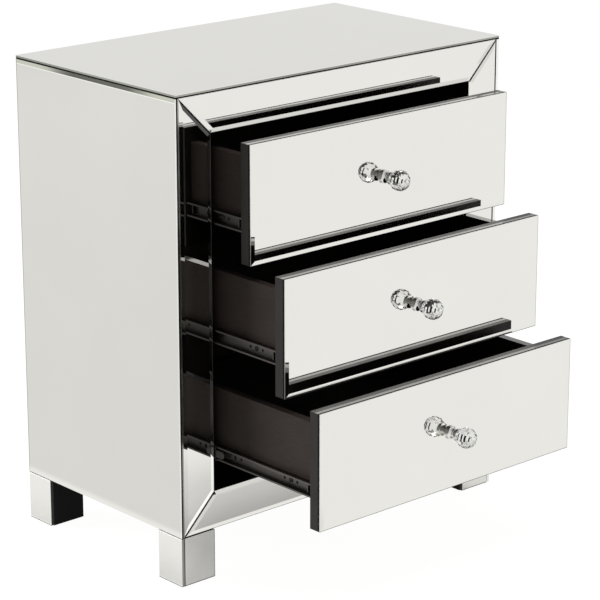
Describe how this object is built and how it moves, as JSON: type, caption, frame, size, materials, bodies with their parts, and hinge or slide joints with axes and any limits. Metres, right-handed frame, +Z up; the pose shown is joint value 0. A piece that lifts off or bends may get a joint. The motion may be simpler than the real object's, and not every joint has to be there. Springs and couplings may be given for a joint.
{
  "type": "mirrored accent chest",
  "caption": "Mirrored accent chest on block feet: bevelled frame round inset drawers on ball-bearing slides, cut-glass knobs.",
  "frame": {"origin": "floor level, on the chest's middle plane, halfway between the back and the front of the foremost knob as stored", "axes": "+Z up, -Y out of the front, the way the drawers open, +X to the right of someone who faces the front"},
  "size_m": [0.61, 0.6148, 0.7],
  "materials": {
    "mirror": "silvered float glass, polished, with ground bevels",
    "black_board": "fibreboard, black-brown satin lacquer",
    "carcass_board": "fibreboard, dark stained",
    "back_board": "hardboard, dark painted",
    "batten_wood": "sawn softwood",
    "drawer_board": "board wrapped in dark brown paper foil",
    "slide_steel": "rolled steel, black zinc plated",
    "cage_steel": "pressed sheet steel with bright steel balls",
    "zinc_steel": "zinc plated steel",
    "glide_plastic": "moulded black polyethylene",
    "cut_glass": "clear glass cut in facets and polished",
    "chrome": "polished chrome plate"
  },
  "bodies": {
    "case": {"top_board": "carcass_board", "bottom_board": "carcass_board", "side_board_left": "carcass_board", "side_board_right": "carcass_board", "back_panel": "back_board", "frame_stile_left": "black_board", "frame_stile_right": "black_board", "frame_rail_top": "black_board", "frame_rail_bottom": "black_board", "runner_battens_left": "batten_wood", "runner_battens_right": "batten_wood", "top_mirror": "mirror", "side_mirror_left": "mirror", "side_mirror_right": "mirror", "frame_mirror_top": "mirror", "frame_mirror_bottom": "mirror", "frame_mirror_left": "mirror", "frame_mirror_right": "mirror", "foot_front_left": "black_board", "foot_front_right": "black_board", "foot_back_left": "black_board", "foot_back_right": "black_board", "foot_mirrors": "mirror", "foot_bolts": "zinc_steel", "foot_glides": "glide_plastic", "cabinet_slides_left": "slide_steel", "cabinet_slides_right": "slide_steel"},
    "top_drawer": {"top_front_board": "black_board", "top_front_mirror": "mirror", "top_side_left": "drawer_board", "top_side_right": "drawer_board", "top_box_back": "drawer_board", "top_box_base": "drawer_board", "top_drawer_slides": "slide_steel", "top_knob_ball": "cut_glass", "top_knob_stem": "chrome", "top_knob_screw": "zinc_steel"},
    "top_cages": {"top_ball_cages": "cage_steel"},
    "middle_drawer": {"middle_front_board": "black_board", "middle_front_mirror": "mirror", "middle_side_left": "drawer_board", "middle_side_right": "drawer_board", "middle_box_back": "drawer_board", "middle_box_base": "drawer_board", "middle_drawer_slides": "slide_steel", "middle_knob_ball": "cut_glass", "middle_knob_stem": "chrome", "middle_knob_screw": "zinc_steel"},
    "middle_cages": {"middle_ball_cages": "cage_steel"},
    "bottom_drawer": {"bottom_front_board": "black_board", "bottom_front_mirror": "mirror", "bottom_side_left": "drawer_board", "bottom_side_right": "drawer_board", "bottom_box_back": "drawer_board", "bottom_box_base": "drawer_board", "bottom_drawer_slides": "slide_steel", "bottom_knob_ball": "cut_glass", "bottom_knob_stem": "chrome", "bottom_knob_screw": "zinc_steel"},
    "bottom_cages": {"bottom_ball_cages": "cage_steel"}
  },
  "joints": [
    {"name": "top_drawer_slide", "type": "slide", "parent": "case", "child": "top_drawer", "axis": [0, -1, 0], "range_m": [-0.078, 0.147]},
    {"name": "top_cage_roll", "type": "slide", "parent": "case", "child": "top_cages", "axis": [0, -1, 0], "range_m": [-0.039, 0.0735]},
    {"name": "middle_drawer_slide", "type": "slide", "parent": "case", "child": "middle_drawer", "axis": [0, -1, 0], "range_m": [-0.146, 0.079]},
    {"name": "middle_cage_roll", "type": "slide", "parent": "case", "child": "middle_cages", "axis": [0, -1, 0], "range_m": [-0.073, 0.0395]},
    {"name": "bottom_drawer_slide", "type": "slide", "parent": "case", "child": "bottom_drawer", "axis": [0, -1, 0], "range_m": [-0.215, 0.01]},
    {"name": "bottom_cage_roll", "type": "slide", "parent": "case", "child": "bottom_cages", "axis": [0, -1, 0], "range_m": [-0.1075, 0.005]}
  ],
  "couplings": [
    {"joint": "top_cage_roll", "follows": "top_drawer_slide", "ratio": 0.5},
    {"joint": "middle_cage_roll", "follows": "middle_drawer_slide", "ratio": 0.5},
    {"joint": "bottom_cage_roll", "follows": "bottom_drawer_slide", "ratio": 0.5}
  ]
}
